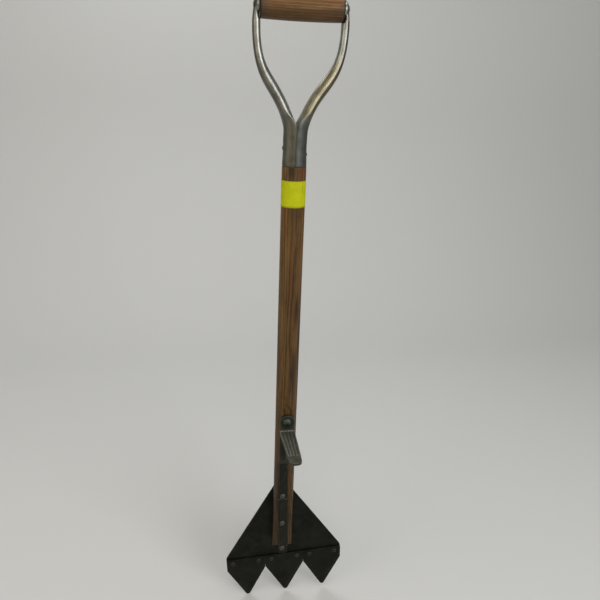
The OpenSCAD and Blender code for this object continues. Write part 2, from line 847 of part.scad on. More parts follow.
module grip() {
    mid_r = grip_d / 2;
    end_r = grip_end_d / 2;
    half = grip_len / 2;
    bore_r = rod_d / 2 + rod_fit;
    color("#8a5a3a") stand() translate([d_offset, 0, grip_h]) rotate([0, 90, 0]) rotate_extrude() polygon([
        [bore_r, -half],
        for (a = [0:15:90]) [end_r - grip_corner_r * (1 - sin(a)), -half + grip_corner_r * (1 - cos(a))],
        for (s = [-0.9:0.15:0.9]) [mid_r - (mid_r - end_r) * s * s, s * (half - grip_corner_r)],
        for (a = [90:-15:0]) [end_r - grip_corner_r * (1 - sin(a)), half - grip_corner_r * (1 - cos(a))],
        [bore_r, half],
    ]);
}

module grip_rod() {
    reach = d_inside / 2 + eye_t;
    color("#77756f") stand() translate([d_offset, 0, grip_h]) {
        bar_x(rod_d, -reach, reach);
        for (side = [0, 1]) mirror([side, 0, 0]) translate([reach - 0.3, 0, 0]) rotate([0, 90, 0])
            dome(rod_head_d, rod_head_t);
    }
}

// Socket pins

// Distance of a pin head's seat from the socket's centre line
function pin_seat() = sqrt(pow(waist_r, 2) - pow(pin_head_d / 2, 2)) - 0.1;

// Places of the pins, each with its axis pointing out of the socket
module pin_places() {
    translate([0, 0, socket_h + left_pin_rise]) rotate([0, -90, 0]) children();
    translate([0, 0, socket_h + right_pin_rise]) rotate([0, 90, 0]) children();
}

module pin_holes() {
    pin_places() translate([0, 0, pin_seat() - pin_len]) cylinder(d = pin_d + 2 * rivet_fit, h = 2 * pin_len);
}

module socket_pins() {
    color("#5a5751") stand() pin_places() {
        translate([0, 0, pin_seat() - pin_len]) cylinder(d = pin_d, h = pin_len + pin_head_t / 3);
        translate([0, 0, pin_seat()]) dome(pin_head_d, pin_head_t);
    }
}

// Tape band

module tape_band() {
    inner_r = shaft_r + band_fit;
    color("#e8dc1e") stand() translate([0, 0, band_h]) difference() {
        cylinder(r = inner_r + band_t, h = band_w);
        translate([0, 0, -cut]) cylinder(r = inner_r, h = band_w + 2 * cut);
    }
}

shaft();
d_yoke();
grip();
grip_rod();
socket_pins();
tape_band();
blade_plate();
left_section();
center_section();
right_section();
left_section_rivets();
center_section_rivets();
right_section_rivets();
front_strap();
shaft_rivets();
strap_foot_rivet();
foot_step();
step_bolt();
step_washer();
step_nut();
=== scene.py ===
"""Looks of the hay knife: finishes, forged and cast detail, studio and camera."""

import logging
import math
from dataclasses import dataclass, field
from enum import Enum

import bmesh
import bpy
from mathutils import Matrix, Vector, geometry, noise

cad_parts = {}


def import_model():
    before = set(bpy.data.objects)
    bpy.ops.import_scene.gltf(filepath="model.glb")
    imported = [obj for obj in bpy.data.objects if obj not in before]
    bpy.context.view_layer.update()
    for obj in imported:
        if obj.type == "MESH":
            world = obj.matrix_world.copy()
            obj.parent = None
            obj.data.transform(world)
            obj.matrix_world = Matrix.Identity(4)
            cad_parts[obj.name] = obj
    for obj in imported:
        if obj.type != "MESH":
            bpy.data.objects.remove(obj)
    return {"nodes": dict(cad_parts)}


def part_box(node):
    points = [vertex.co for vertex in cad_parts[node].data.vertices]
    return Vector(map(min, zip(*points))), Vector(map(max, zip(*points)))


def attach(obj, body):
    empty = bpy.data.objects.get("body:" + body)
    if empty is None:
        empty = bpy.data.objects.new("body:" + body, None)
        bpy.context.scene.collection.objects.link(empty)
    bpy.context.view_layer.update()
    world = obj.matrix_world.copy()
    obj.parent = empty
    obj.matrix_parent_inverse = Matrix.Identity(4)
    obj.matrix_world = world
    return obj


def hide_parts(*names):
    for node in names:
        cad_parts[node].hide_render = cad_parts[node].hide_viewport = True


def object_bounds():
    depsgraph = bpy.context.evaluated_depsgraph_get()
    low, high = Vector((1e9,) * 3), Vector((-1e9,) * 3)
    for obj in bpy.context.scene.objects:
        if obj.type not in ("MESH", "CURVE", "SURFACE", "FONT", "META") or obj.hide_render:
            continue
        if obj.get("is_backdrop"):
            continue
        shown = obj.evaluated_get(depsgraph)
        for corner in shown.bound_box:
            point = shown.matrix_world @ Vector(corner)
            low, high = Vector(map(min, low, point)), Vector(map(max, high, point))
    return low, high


log = logging.getLogger("hay_knife")

MM = 0.001

Color = tuple[float, float, float]
Point = tuple[float, float, float]


class Axis(Enum):
    """The way a grain or a run of scratches lies."""

    X = 0
    Y = 1
    Z = 2


class Side(Enum):
    """One half of the D."""

    LEFT = -1
    RIGHT = 1


class Signal:
    """One output socket of a shader, on which sums are written as Python."""

    def __init__(self, maker: "ShaderMaker", socket: bpy.types.NodeSocket) -> None:
        """Keeps the socket and the maker that adds nodes after it."""
        self.maker = maker
        self.socket = socket

    def _math(self, operation: str, *values: "Signal | float") -> "Signal":
        """Adds a Math node.

        Args:
            operation: the node's operation.
            values: its inputs in order.

        Returns:
            The node's result.
        """
        return self.maker.node(
            "ShaderNodeMath", {"operation": operation}, dict(enumerate(values))
        )

    def __add__(self, other: "Signal | float") -> "Signal":
        """The sum of two values."""
        return self._math("ADD", self, other)

    __radd__ = __add__

    def __sub__(self, other: "Signal | float") -> "Signal":
        """This value less another."""
        return self._math("SUBTRACT", self, other)

    def __rsub__(self, other: "Signal | float") -> "Signal":
        """Another value less this one."""
        return self._math("SUBTRACT", other, self)

    def __mul__(self, other: "Signal | float") -> "Signal":
        """The product of two values."""
        return self._math("MULTIPLY", self, other)

    __rmul__ = __mul__

    def __pow__(self, other: "Signal | float") -> "Signal":
        """This value raised to a power."""
        return self._math("POWER", self, other)

    def sine(self) -> "Signal":
        """The sine of a value in radians."""
        return self._math("SINE", self)

    def step(self, start: float, end: float) -> "Signal":
        """A smooth rise from 0 at start to 1 at end, or a fall if end is lower."""
        return self.maker.node(
            "ShaderNodeMapRange",
            {"interpolation_type": "SMOOTHSTEP"},
            {"Value": self, "From Min": start, "From Max": end},
        )


class ShaderMaker:
    """Adds nodes to one material and joins them."""

    def __init__(self, name: str) -> None:
        """Makes an empty material of that name."""
        self.material = bpy.data.materials.new(name)
        self.material.use_nodes = True
        self.tree = self.material.node_tree
        self.tree.nodes.clear()

    def node(
        self,
        kind: str,
        settings: dict[str, object] | None = None,
        inputs: dict[object, object] | None = None,
        output: int | str = 0,
    ) -> Signal:
        """Adds one node.

        Args:
            kind: the node's type.
            settings: its own settings; "stops" are a ramp's stops.
            inputs: values or links of its sockets, by name or place.
            output: which output is returned.

        Returns:
            The chosen output.
        """
        node = self.tree.nodes.new(kind)
        for key, value in (settings or {}).items():
            if key == "stops":
                self._set_stops(node.color_ramp, value)
            else:
                setattr(node, key, value)
        for key, value in (inputs or {}).items():
            socket = node.inputs[key]
            if isinstance(value, Signal):
                self.tree.links.new(value.socket, socket)
            elif isinstance(value, tuple) and socket.type == "RGBA":
                socket.default_value = (*value[:3], 1.0)
            else:
                socket.default_value = value
        return Signal(self, node.outputs[output])

    @staticmethod
    def _set_stops(ramp: bpy.types.ColorRamp, stops: list[tuple[float, Color]]) -> None:
        """Gives a ramp its stops, each a place and a colour."""
        while len(ramp.elements) < len(stops):
            ramp.elements.new(1.0)
        for element, (place, color) in zip(ramp.elements, stops):
            element.position = place
            element.color = (*color, 1.0)

    def coords(self) -> Signal:
        """Object coordinates in metres."""
        return self.node("ShaderNodeTexCoord", output="Object")

    def along(self, axis: Axis, on: Signal | None = None) -> Signal:
        """One coordinate in metres, of the object's unless others are given."""
        return self.node("ShaderNodeSeparateXYZ", {}, {0: on or self.coords()}, output=axis.value)

    def painted(self, name: str) -> Signal:
        """A number that the mesh itself carries."""
        return self.node("ShaderNodeAttribute", {"attribute_name": name}, output="Fac")

    def noise(
        self,
        size: float,
        detail: float = 4.0,
        rough: float = 0.55,
        stretch: Point = (1.0, 1.0, 1.0),
        shift: float = 0.0,
        on: Signal | None = None,
    ) -> Signal:
        """Cloudy noise from 0 to 1.

        Args:
            size: size of its blotches in metres.
            detail: how many finer layers it has.
            rough: how strong the finer layers are.
            stretch: how many times longer it is along each axis.
            shift: moves it to another part of the noise.
            on: the coordinates it lies on, if not the object's.

        Returns:
            The noise's value.
        """
        place = self.node(
            "ShaderNodeMapping",
            {},
            {
                "Vector": on or self.coords(),
                "Scale": tuple(1.0 / s for s in stretch),
                "Location": (shift, shift, shift),
            },
        )
        return self.node(
            "ShaderNodeTexNoise",
            {},
            {"Vector": place, "Scale": 1.0 / size, "Detail": detail, "Roughness": rough},
        )

    def ramp(self, value: Signal, *stops: tuple[float, Color]) -> Signal:
        """A colour that follows a value through stops."""
        return self.node("ShaderNodeValToRGB", {"stops": list(stops)}, {0: value})

    def mix(self, share: Signal | float, first: Signal | Color, second: Signal | Color) -> Signal:
        """A blend of two colours, the second by share."""
        return self.node(
            "ShaderNodeMix", {"data_type": "RGBA"}, {0: share, 6: first, 7: second}, output=2
        )

    def tint(self, color: Signal, by: Signal | Color, share: Signal | float = 1.0) -> Signal:
        """A colour multiplied by another."""
        return self.node(
            "ShaderNodeMix",
            {"data_type": "RGBA", "blend_type": "MULTIPLY"},
            {0: share, 6: color, 7: by},
            output=2,
        )

    def bump(self, height: Signal, depth: float, strength: float = 1.0) -> Signal:
        """A normal from a height map that is depth metres high."""
        return self.node(
            "ShaderNodeBump", {}, {"Height": height, "Distance": depth, "Strength": strength}
        )

    def surface(self, **sockets: object) -> bpy.types.Material:
        """Ends the material with a Principled surface.

        Args:
            sockets: its sockets, by name with _ for a space.

        Returns:
            The finished material.
        """
        inputs = {key.replace("_", " "): value for key, value in sockets.items()}
        shader = self.node("ShaderNodeBsdfPrincipled", {}, inputs)
        end = self.tree.nodes.new("ShaderNodeOutputMaterial")
        self.tree.links.new(shader.socket, end.inputs["Surface"])
        return self.material


@dataclass(frozen=True)
class AgedWood:
    """Dark ash, worn by handling: year rings seen as long lines, open pores and old grime."""

    name: str = "aged_ash"
    dark: Color = (0.024, 0.012, 0.0042)
    middle: Color = (0.080, 0.040, 0.0105)
    light: Color = (0.130, 0.068, 0.021)
    grime: Color = (0.58, 0.60, 0.62)
    axis: Axis = Axis.Z
    heart: tuple[float, float] = (-34 * MM, 58 * MM)
    ring: float = 3.1 * MM
    rough: float = 0.50

    def _long(self, times: float) -> Point:
        """A stretch along the grain."""
        return tuple(times if i == self.axis.value else 1.0 for i in range(3))

    def rings(self, m: ShaderMaker) -> Signal:
        """Year rings round the heart of the tree, from 0 to 1."""
        across = [axis for axis in Axis if axis is not self.axis]
        a, b = (m.along(axis) - center for axis, center in zip(across, self.heart))
        wander = m.noise(22 * MM, 3.0, 0.5, self._long(9.0), shift=4.0) * (3.2 * self.ring)
        radius = (a * a + b * b) ** 0.5 + wander
        return (radius * (2 * math.pi / self.ring)).sine() * 0.5 + 0.5

    def color(self, m: ShaderMaker, tone: Signal, pores: Signal) -> Signal:
        """The wood's colour under its wear.

        Args:
            m: the maker of the material.
            tone: the grain from dark to light.
            pores: where the open pores are.

        Returns:
            The colour.
        """
        warmth = m.noise(7 * MM, 3.0, 0.5, self._long(16.0), shift=9.3).step(0.50, 0.66)
        patches = m.noise(55 * MM, 4.0, 0.6, self._long(2.0), shift=1.3).step(0.42, 0.66)
        color = m.ramp(tone, (0.0, self.dark), (0.48, self.middle), (1.0, self.light))
        color = m.mix(warmth * 0.60, color, m.tint(color, (1.35, 0.80, 0.78)))
        color = m.mix(pores * 0.8, color, self.dark)
        return m.tint(color, self.grime, patches * 0.7)

    def make(self) -> bpy.types.Material:
        """Builds the material."""
        m = ShaderMaker(self.name)
        fibre = m.noise(1.3 * MM, 5.0, 0.62, self._long(46.0), shift=3.1)
        broad = m.noise(5 * MM, 3.0, 0.5, self._long(30.0), shift=6.2)
        pores = m.noise(0.5 * MM, 2.0, 0.5, self._long(26.0), shift=7.7).step(0.57, 0.70)
        tone = (self.rings(m) * 0.15 + fibre * 0.44 + broad * 0.42).step(0.31, 0.73)
        worn = m.painted("wear") * m.noise(8 * MM, 4.0, 0.6, shift=5.5).step(0.35, 0.60)
        color = m.mix(worn * 0.55, self.color(m, tone, pores), self.light)
        return m.surface(
            Base_Color=color,
            Roughness=self.rough - tone * 0.12 + pores * 0.25,
            Normal=m.bump(tone * 0.4 - pores * 0.8, 0.22 * MM, 0.8),
            Specular_IOR_Level=0.20,
        )


@dataclass(frozen=True)
class ShaftWood(AgedWood):
    """The shaft's ash, stained by the iron of the socket below its rim, with a painted sheen on its
    sides and a painted shadow below the foot step.
    """

    rim_z: float = 0.0
    step_low_z: float = 0.0
    iron_stain_and_shade: Color = (0.013, 0.0125, 0.006)
    lighter_tone: Color = (1.85, 1.95, 1.70)

    def color(self, m: ShaderMaker, tone: Signal, pores: Signal) -> Signal:
        """The wood's colour with its stains, a painted sheen on its sides and a painted shadow below
        the step.
        """
        color = super().color(m, tone, pores)
        x, y, z = (m.along(axis) for axis in Axis)
        # Painted sheen: the shaft's sides, the left most, are lightened between the foot step and
        # the socket.
        sides = x.step(-5 * MM, -14 * MM) + x.step(9 * MM, 17 * MM) * 0.35
        color = m.tint(color, self.lighter_tone, sides * z.step(self.step_low_z, self.rim_z))
        blur = m.noise(9 * MM, 5.0, 0.65, (1.0, 1.0, 2.6), shift=2.4)
        front = y.step(6 * MM, -4 * MM)
        left_edge = (x + blur * (9 * MM)).step(-9.5 * MM, -4.5 * MM)
        right_edge = (x - blur * (7 * MM)).step(-3 * MM, -8 * MM)
        length = (z + blur * (16 * MM)).step(self.rim_z - 16 * MM, self.rim_z + 2 * MM)
        drip = left_edge * right_edge * length * front
        # Painted shadow of the foot step and the strap: the front below the step is darkened, most
        # to the left of the strap.
        below = (z + blur * (12 * MM)).step(self.step_low_z + 8 * MM, self.step_low_z - 4 * MM)
        beside = (x + blur * (6 * MM)).step(9 * MM, -8 * MM) * 0.34 + blur * 0.5 + 0.12
        color = m.mix(drip * 0.66, color, self.iron_stain_and_shade)
        return m.mix(below * front * beside, color, self.iron_stain_and_shade)


@dataclass(frozen=True)
class GripWood(AgedWood):
    """The grip's ash, rubbed pale on its edges and soiled towards its ends, with painted shade
    underneath and a painted shadow line at each end.
    """

    left_x: float = 0.0
    right_x: float = 0.0
    middle_z: float = 0.0
    underside_shade: Color = (0.50, 0.50, 0.54)
    soiled: Color = (0.060, 0.046, 0.030)
    rim: Color = (0.020, 0.016, 0.011)

    def color(self, m: ShaderMaker, tone: Signal, pores: Signal) -> Signal:
        """The wood's colour with its soiled ends, painted shade underneath and a painted shadow line
        at each end.
        """
        color = super().color(m, tone, pores)
        x = m.along(Axis.X) + (m.noise(6 * MM, 4.0, 0.6, shift=2.9) - 0.5) * (14 * MM)
        ends = x.step(self.left_x + 16 * MM, self.left_x) + x.step(
            self.right_x - 12 * MM, self.right_x + 2 * MM
        )
        color = m.mix(ends * 0.55, color, self.soiled)
        # Painted shade: the grip's underside is darkened.
        below = m.along(Axis.Z).step(self.middle_z + 10 * MM, self.middle_z - 16 * MM)
        color = m.tint(color, self.underside_shade, below)
        # Painted shadow: a dark line near each end, where the gap to the eye lies in shade.
        across = m.along(Axis.X)
        end_shadow = across.step(self.left_x + 2.8 * MM, self.left_x + 1.2 * MM) + across.step(
            self.right_x - 2.8 * MM, self.right_x - 1.2 * MM
        )
        return m.mix(end_shadow * 0.75, color, self.rim)


@dataclass(frozen=True)
class YokeSteel:
    """The D's steel: smoother on the arms, dull and stained on the socket; painted sheen on the
    arms' inner sides, painted shade on their outer sides and in the crotch's crease, and a painted
    warm reflection on the right arm.
    """

    name: str = "yoke_steel"
    dark: Color = (0.125, 0.119, 0.096)
    light: Color = (0.305, 0.307, 0.292)
    olive: Color = (0.41, 0.395, 0.305)
    gray: Color = (0.29, 0.30, 0.292)
    warm_reflection: Color = (1.0, 0.90, 0.68)
    inner_sheen: Color = (1.30, 1.31, 1.32)
    outer_shade: Color = (0.64, 0.62, 0.54)
    stain_and_crease_shade: Color = (0.050, 0.040, 0.024)
    crotch_z: float = 0.0
    seam_x: float = -0.6 * MM

    def make(self) -> bpy.types.Material:
        """Builds the material."""
        m = ShaderMaker(self.name)
        flow = m.node("ShaderNodeAttribute", {"attribute_name": "flow"}, output="Vector")
        cloud = m.noise(15 * MM, 5.0, 0.62)
        scratches = m.noise(0.55 * MM, 3.0, 0.6, (1.0, 1.0, 30.0), shift=2.3, on=flow)
        spots = m.noise(2.6 * MM, 4.0, 0.65, shift=5.2).step(0.60, 0.74)
        socket = m.along(Axis.Z).step(self.crotch_z + 26 * MM, self.crotch_z - 6 * MM)
        ragged = m.along(Axis.X) + (m.noise(5 * MM, 4.0, 0.6, (1.0, 1.0, 3.0)) - 0.5) * (5 * MM)
        right = ragged.step(self.seam_x - 0.5 * MM, self.seam_x + 0.9 * MM)
        color = m.ramp(cloud * 0.55 + scratches * 0.45, (0.32, self.dark), (0.68, self.light))
        height = m.along(Axis.Z)
        # Painted warm reflection: the right arm's lower, slanting part is tinted warm.
        warm_reflection = height.step(self.crotch_z + 2 * MM, self.crotch_z + 22 * MM) * height.step(
            self.crotch_z + 105 * MM, self.crotch_z + 70 * MM
        )
        color = m.tint(color, self.warm_reflection, warm_reflection * m.along(Axis.X).step(-6 * MM, 10 * MM))
        # Painted sheen on the arms' inner sides and painted shade on their outer sides.
        arms = height.step(self.crotch_z + 2 * MM, self.crotch_z + 26 * MM)
        outer = m.along(Axis.X, flow).step(-2 * MM, 5.5 * MM)
        color = m.tint(color, m.mix(outer, self.inner_sheen, self.outer_shade), arms)
        color = m.tint(color, m.mix(right, self.olive, self.gray), socket * 0.9)
        run = ragged.step(-11.5 * MM, -8 * MM) * ragged.step(-3.5 * MM, -6 * MM)
        color = m.tint(color, (1.0, 0.82, 0.68), run * socket * 0.6)
        # The seam's darkening: a dark joint down the socket, growing into painted shade in the
        # crotch's crease.
        color = m.tint(color, self.stain_and_crease_shade, m.painted("seam") * 0.85)
        color = m.mix(spots * (0.22 + socket * 0.30), color, self.stain_and_crease_shade)
        return m.surface(
            Base_Color=color,
            Metallic=0.95 - spots * 0.25 - socket * 0.12,
            Roughness=0.26 + cloud * 0.10 + scratches * 0.08 + spots * 0.20 + socket * 0.15,
            Normal=m.bump(scratches * 0.25 + cloud * 0.5 - spots * 0.4, 0.06 * MM, 0.6),
        )


@dataclass(frozen=True)
class OldIron:
    """Wrought iron or steel under a dark skin, rubbed to metal on its edges."""

    name: str = "strap_iron"
    dark: Color = (0.0066, 0.0074, 0.0046)
    light: Color = (0.0195, 0.0200, 0.0135)
    rubbed: Color = (0.16, 0.155, 0.125)
    rust: Color = (0.034, 0.018, 0.009)
    rubbing: float = 0.45
    rough: float = 0.46
    metal: float = 0.80
    axis: Axis = Axis.Z

    def make(self) -> bpy.types.Material:
        """Builds the material."""
        m = ShaderMaker(self.name)
        lengthwise = tuple(18.0 if axis is self.axis else 1.0 for axis in Axis)
        cloud = m.noise(13 * MM, 5.0, 0.62)
        drags = m.noise(0.8 * MM, 3.0, 0.6, lengthwise, shift=2.3)
        pits = m.noise(1.5 * MM, 4.0, 0.6, shift=5.2).step(0.58, 0.70)
        rust = m.noise(6 * MM, 5.0, 0.65, shift=8.8).step(0.54, 0.72)
        broken = m.noise(3 * MM, 4.0, 0.6, shift=3.9).step(0.36, 0.60)
        color = m.ramp(cloud * 0.55 + drags * 0.45, (0.30, self.dark), (0.72, self.light))
        color = m.mix(rust * 0.45, color, self.rust)
        fleck = m.noise(1.0 * MM, 2.0, 0.5, shift=1.6).step(0.62, 0.74)
        color = m.mix(m.painted("wear") * broken * self.rubbing + fleck * 0.16, color, self.rubbed)
        return m.surface(
            Base_Color=color,
            Metallic=self.metal - rust * 0.4,
            Roughness=self.rough + cloud * 0.14 + rust * 0.18 - drags * 0.06,
            Normal=m.bump(cloud * 0.8 + drags * 0.2 - pits * 0.5, 0.16 * MM, 0.8),
        )


@dataclass(frozen=True)
class BlackenedSteel:
    """Blade steel under an old black skin, finely speckled, with a rubbed edge."""

    name: str = "blackened_steel"
    skin: Color = (0.0075, 0.0080, 0.0055)
    lighter_tone: Color = (0.021, 0.0215, 0.017)
    fleck: Color = (0.075, 0.072, 0.060)
    rubbed: Color = (0.085, 0.082, 0.068)
    rough: float = 0.50

    def make(self) -> bpy.types.Material:
        """Builds the material."""
        m = ShaderMaker(self.name)
        cloud = m.noise(24 * MM, 6.0, 0.62)
        speck = m.noise(0.9 * MM, 2.0, 0.5, shift=2.2).step(0.63, 0.74)
        drags = m.noise(1.1 * MM, 3.0, 0.6, (1.0, 1.0, 16.0), shift=6.3).step(0.56, 0.76)
        broken = m.noise(4 * MM, 4.0, 0.6, shift=1.8).step(0.38, 0.62)
        color = m.ramp(cloud, (0.34, self.skin), (0.74, self.lighter_tone))
        color = m.mix(drags * 0.30, color, self.lighter_tone)
        color = m.mix(speck * 0.40, color, self.fleck)
        color = m.mix(m.painted("wear") * broken * 0.6, color, self.rubbed)
        return m.surface(
            Base_Color=color,
            Metallic=0.90 - speck * 0.2,
            Roughness=self.rough + cloud * 0.16 - drags * 0.06,
            Normal=m.bump(cloud * 0.7 + speck * 0.3 - drags * 0.2, 0.14 * MM, 0.7),
        )


@dataclass(frozen=True)
class CastIron:
    """Sand-cast iron, grey-green, dark in its hollows and rubbed where a boot stands, with painted
    shade under the tread.
    """

    name: str = "cast_iron"
    dark: Color = (0.019, 0.023, 0.017)
    light: Color = (0.062, 0.064, 0.046)
    worn: Color = (0.270, 0.262, 0.215)
    rust: Color = (0.075, 0.040, 0.024)
    tread_z: float = 0.0
    rib_rise: float = 1.4 * MM
    bolt_x: float = 0.0
    bolt_z: float = 0.0

    def make(self) -> bpy.types.Material:
        """Builds the material."""
        m = ShaderMaker(self.name)
        cloud = m.noise(10 * MM, 6.0, 0.62)
        grains = m.noise(0.9 * MM, 3.0, 0.6, shift=4.4)
        rust = m.noise(5 * MM, 5.0, 0.65, shift=9.1).step(0.54, 0.70)
        height = m.along(Axis.Z)
        top = height.step(self.tread_z - 0.5 * MM, self.tread_z + self.rib_rise)
        below = height.step(self.tread_z + 1.5 * self.rib_rise, self.tread_z + 1.05 * self.rib_rise)
        rubbed = top * below
        edge = m.painted("edge").step(0.35, 0.85)
        hollow = m.painted("edge").step(-0.15, -0.7)
        color = m.ramp(cloud * 0.6 + grains * 0.4, (0.30, self.dark), (0.70, self.light))
        color = m.mix(rust * 0.35, color, self.rust)
        color = m.mix(rubbed * (0.17 + cloud * 0.60), color, self.worn)
        color = m.mix(edge * (0.02 + grains * 0.16), color, self.worn)
        color = m.mix(hollow * 0.30, color, self.dark)
        # Painted shade under the tread.
        under = height.step(self.tread_z - 1 * MM, self.tread_z - 9 * MM)
        color = m.tint(color, (0.50, 0.54, 0.50), under)
        plate = height.step(self.tread_z + 3 * MM, self.tread_z + 6 * MM)
        across, up = m.along(Axis.X) - self.bolt_x, height - self.bolt_z
        # A darker ring round the bolt's head.
        bolt_ring = (across * across + up * up).step((14 * MM) ** 2, (8.5 * MM) ** 2)
        color = m.tint(color, (0.70, 0.72, 0.70), plate)
        color = m.tint(color, (0.45, 0.50, 0.45), bolt_ring * plate)
        return m.surface(
            Base_Color=color,
            Metallic=0.45 + rubbed * 0.25,
            Roughness=0.50 - rubbed * 0.08 + grains * 0.14,
            Normal=m.bump(grains * 0.5 + cloud * 0.5, 0.22 * MM, 0.8),
            Specular_IOR_Level=0.35,
        )


@dataclass(frozen=True)
class BandPaper:
    """Bright yellow paper band, creased and slightly soiled."""

    name: str = "band_paper"
    face: Color = (0.440, 0.448, 0.0055)
    aged: Color = (0.345, 0.372, 0.0050)
    soiled: Color = (0.135, 0.138, 0.014)

    def make(self) -> bpy.types.Material:
        """Builds the material."""
        m = ShaderMaker(self.name)
        age = m.noise(14 * MM, 4.0, 0.6, shift=4.2).step(0.42, 0.66)
        soil = m.noise(3.4 * MM, 5.0, 0.65, (1.0, 1.0, 0.6)).step(0.58, 0.78)
        fibre = m.noise(0.45 * MM, 3.0, 0.6, (3.0, 3.0, 1.0), shift=2.0)
        crease = m.noise(5 * MM, 3.0, 0.5, (1.0, 1.0, 3.0), shift=7.0)
        color = m.mix(age * 0.7, self.face, self.aged)
        color = m.mix(soil * 0.45 + m.painted("wear") * 0.35, color, self.soiled)
        return m.surface(
            Base_Color=color,
            Roughness=0.52 + fibre * 0.2,
            Normal=m.bump(fibre * 0.15 + crease, 0.25 * MM, 0.7),
            Specular_IOR_Level=0.1,
        )


@dataclass
class Bench:
    """Holds the frame's nodes and the finishes, and turns meshes into pieces."""

    nodes: dict[str, bpy.types.Object]
    finishes: dict[str, bpy.types.Material] = field(default_factory=dict)

    def finish(self, look: object) -> bpy.types.Material:
        """A finish's material, made once."""
        if look.name not in self.finishes:
            self.finishes[look.name] = look.make()
        return self.finishes[look.name]

    def coat(self, look: object, *names: str) -> None:
        """Gives carried-over nodes a finish.

        Args:
            look: a finish with a name and a make method.
            names: names of the nodes.
        """
        for name in names:
            for slot in self.nodes[name].material_slots:
                slot.material = self.finish(look)
            log.info("%s: %s", name, look.name)

    def copy(self, name: str) -> bmesh.types.BMesh:
        """A node's mesh with its triangles joined and its flat faces whole."""
        shape = bmesh.new()
        shape.from_mesh(self.nodes[name].data)
        bmesh.ops.remove_doubles(shape, verts=shape.verts, dist=0.002 * MM)
        bmesh.ops.dissolve_limit(
            shape, angle_limit=math.radians(0.3), verts=shape.verts, edges=shape.edges
        )
        return shape

    def piece(
        self,
        shape: bmesh.types.BMesh,
        name: str,
        look: object,
        slot: str,
        replaced: str,
        body: str = "knife",
    ) -> bpy.types.Object:
        """Makes a mesh a smooth-shaded piece that stands for a node.

        Args:
            shape: the mesh, which is freed.
            name: the piece's name.
            look: its finish.
            slot: the record's material slot; not used.
            replaced: the node it stands for.
            body: the body it rides on.

        Returns:
            The piece.
        """
        for face in shape.faces:
            face.smooth = True
        mesh = bpy.data.meshes.new(name)
        shape.to_mesh(mesh)
        shape.free()
        mesh.materials.append(self.finish(look))
        made = bpy.data.objects.new(name, mesh)
        bpy.context.scene.collection.objects.link(made)
        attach(made, body)
        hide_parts(replaced)
        log.info("%s: %d faces, %s, for %s", name, len(mesh.polygons), look.name, replaced)
        return made


@dataclass
class WornSolid:
    """A carried-over solid with rubbed, rounded edges and small dents."""

    node: str
    slot: str
    look: object
    edge_w: float = 0.0
    dent: float = 0.0
    dent_size: float = 3 * MM
    body: str = "knife"
    corner: float = math.radians(24)

    def build(self, bench: Bench) -> bpy.types.Object:
        """Builds the piece that replaces the node."""
        shape = bench.copy(self.node)
        wear = shape.loops.layers.float.new("wear")
        if self.edge_w:
            sharp = [e for e in shape.edges if e.is_manifold and e.calc_face_angle() > self.corner]
            made = bmesh.ops.bevel(
                shape,
                geom=sharp,
                offset=self.edge_w,
                offset_type="OFFSET",
                segments=2,
                profile=0.5,
                affect="EDGES",
                material=-1,
            )
            for face in made["faces"]:
                for loop in face.loops:
                    loop[wear] = 1.0
        if self.dent:
            shape.normal_update()
            for vert in shape.verts:
                vert.co += vert.normal * noise.noise(vert.co / self.dent_size) * self.dent
        for edge in shape.edges:
            edge.smooth = edge.is_manifold and edge.calc_face_angle() < math.radians(50)
        piece = bench.piece(shape, f"worn_{self.node}", self.look, self.slot, self.node, self.body)
        even = piece.modifiers.new("even_normals", "WEIGHTED_NORMAL")
        even.keep_sharp = True
        return piece


@dataclass
class CastStep:
    """The foot step as it left the sand: every edge soft, every face a little rough."""

    look: object
    voxel: float = 0.60 * MM
    softening: int = 4
    grain: float = 0.10 * MM
    grain_size: float = 1.6 * MM
    wave: float = 0.22 * MM
    wave_size: float = 9 * MM

    def _remeshed(self, bench: Bench) -> bmesh.types.BMesh:
        """The step's solid as one skin of small even faces."""
        rough = bpy.data.meshes.new("step_rough")
        source = bench.copy("foot_step")
        source.to_mesh(rough)
        source.free()
        carrier = bpy.data.objects.new("step_rough", rough)
        bpy.context.scene.collection.objects.link(carrier)
        remesh = carrier.modifiers.new("skin", "REMESH")
        remesh.mode = "VOXEL"
        remesh.voxel_size = self.voxel
        graph = bpy.context.evaluated_depsgraph_get()
        shape = bmesh.new()
        shape.from_mesh(carrier.evaluated_get(graph).to_mesh())
        bpy.data.objects.remove(carrier)
        bpy.data.meshes.remove(rough)
        return shape

    def build(self, bench: Bench) -> bpy.types.Object:
        """Builds the cast step."""
        shape = self._remeshed(bench)
        for _ in range(self.softening):
            bmesh.ops.smooth_vert(
                shape,
                verts=shape.verts,
                factor=0.5,
                use_axis_x=True,
                use_axis_y=True,
                use_axis_z=True,
            )
        shape.normal_update()
        edge = shape.verts.layers.float.new("edge")
        for vert in shape.verts:
            around = [e.other_vert(vert).co for e in vert.link_edges]
            middle = sum(around, Vector()) / len(around)
            vert[edge] = (vert.co - middle).dot(vert.normal) / (0.12 * self.voxel)
        for vert in shape.verts:
            fine = noise.noise(vert.co / self.grain_size) * self.grain
            slow = noise.noise(vert.co / self.wave_size) * self.wave
            vert.co += vert.normal * (fine + slow)
        return bench.piece(shape, "cast_step", self.look, "step_iron", "foot_step")


